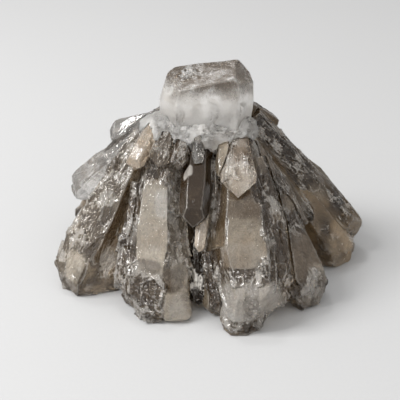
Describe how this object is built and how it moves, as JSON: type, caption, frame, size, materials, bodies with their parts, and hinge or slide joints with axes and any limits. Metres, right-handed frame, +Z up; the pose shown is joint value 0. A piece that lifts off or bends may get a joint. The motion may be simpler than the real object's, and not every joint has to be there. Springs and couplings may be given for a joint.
{
  "type": "smoky quartz cluster",
  "caption": "Natural cluster of stout smoky quartz crystals that spread down and out from a milky root mass, with a blunt crystal standing on top, resting on worn crystal feet.",
  "frame": {"origin": "centre of the footprint, on the surface the cluster stands on", "axes": "+Z up, +X to the right and along the longest side, +Y to the back"},
  "size_m": [0.105, 0.0924, 0.0723],
  "materials": {
    "clear_quartz": "polished",
    "smoky_quartz": "polished",
    "dark_quartz": "polished",
    "stained_quartz": "gloss",
    "milky_quartz": "satin"
  },
  "bodies": {
    "root": {"crown_crystal": "milky_quartz", "front_right_crystal": "smoky_quartz", "front_left_crystal": "smoky_quartz", "left_crystal": "smoky_quartz", "right_crystal": "dark_quartz", "front_right_foot_crystal": "smoky_quartz", "right_foot_crystal": "clear_quartz", "cleft_crystal": "dark_quartz", "nub_crystal": "stained_quartz", "shard_crystal": "smoky_quartz", "sliver_crystal": "stained_quartz", "white_needle_crystal": "milky_quartz", "left_finger_crystal": "stained_quartz", "stained_shard_left": "stained_quartz", "stained_shard_right": "stained_quartz", "band_crystal": "smoky_quartz", "lower_left_crystal": "dark_quartz", "lower_right_crystal": "smoky_quartz", "lower_foot_crystal": "smoky_quartz", "left_clear_crystal": "clear_quartz", "left_upper_crystal": "clear_quartz", "right_ridge_crystal": "smoky_quartz", "crown_spur_crystal": "dark_quartz", "back_left_crystal": "smoky_quartz", "back_right_crystal": "smoky_quartz", "left_back_crystal": "dark_quartz", "right_back_crystal": "dark_quartz", "back_centre_crystal": "clear_quartz", "left_under_crystal": "smoky_quartz", "right_under_crystal": "smoky_quartz", "back_under_crystal": "dark_quartz", "back_nub_left_crystal": "stained_quartz", "back_nub_right_crystal": "clear_quartz", "back_finger_crystal": "stained_quartz", "right_finger_crystal": "clear_quartz", "left_shoulder_crystal": "clear_quartz", "centre_crystal": "dark_quartz", "root_mass": "milky_quartz"}
  },
  "joints": []
}
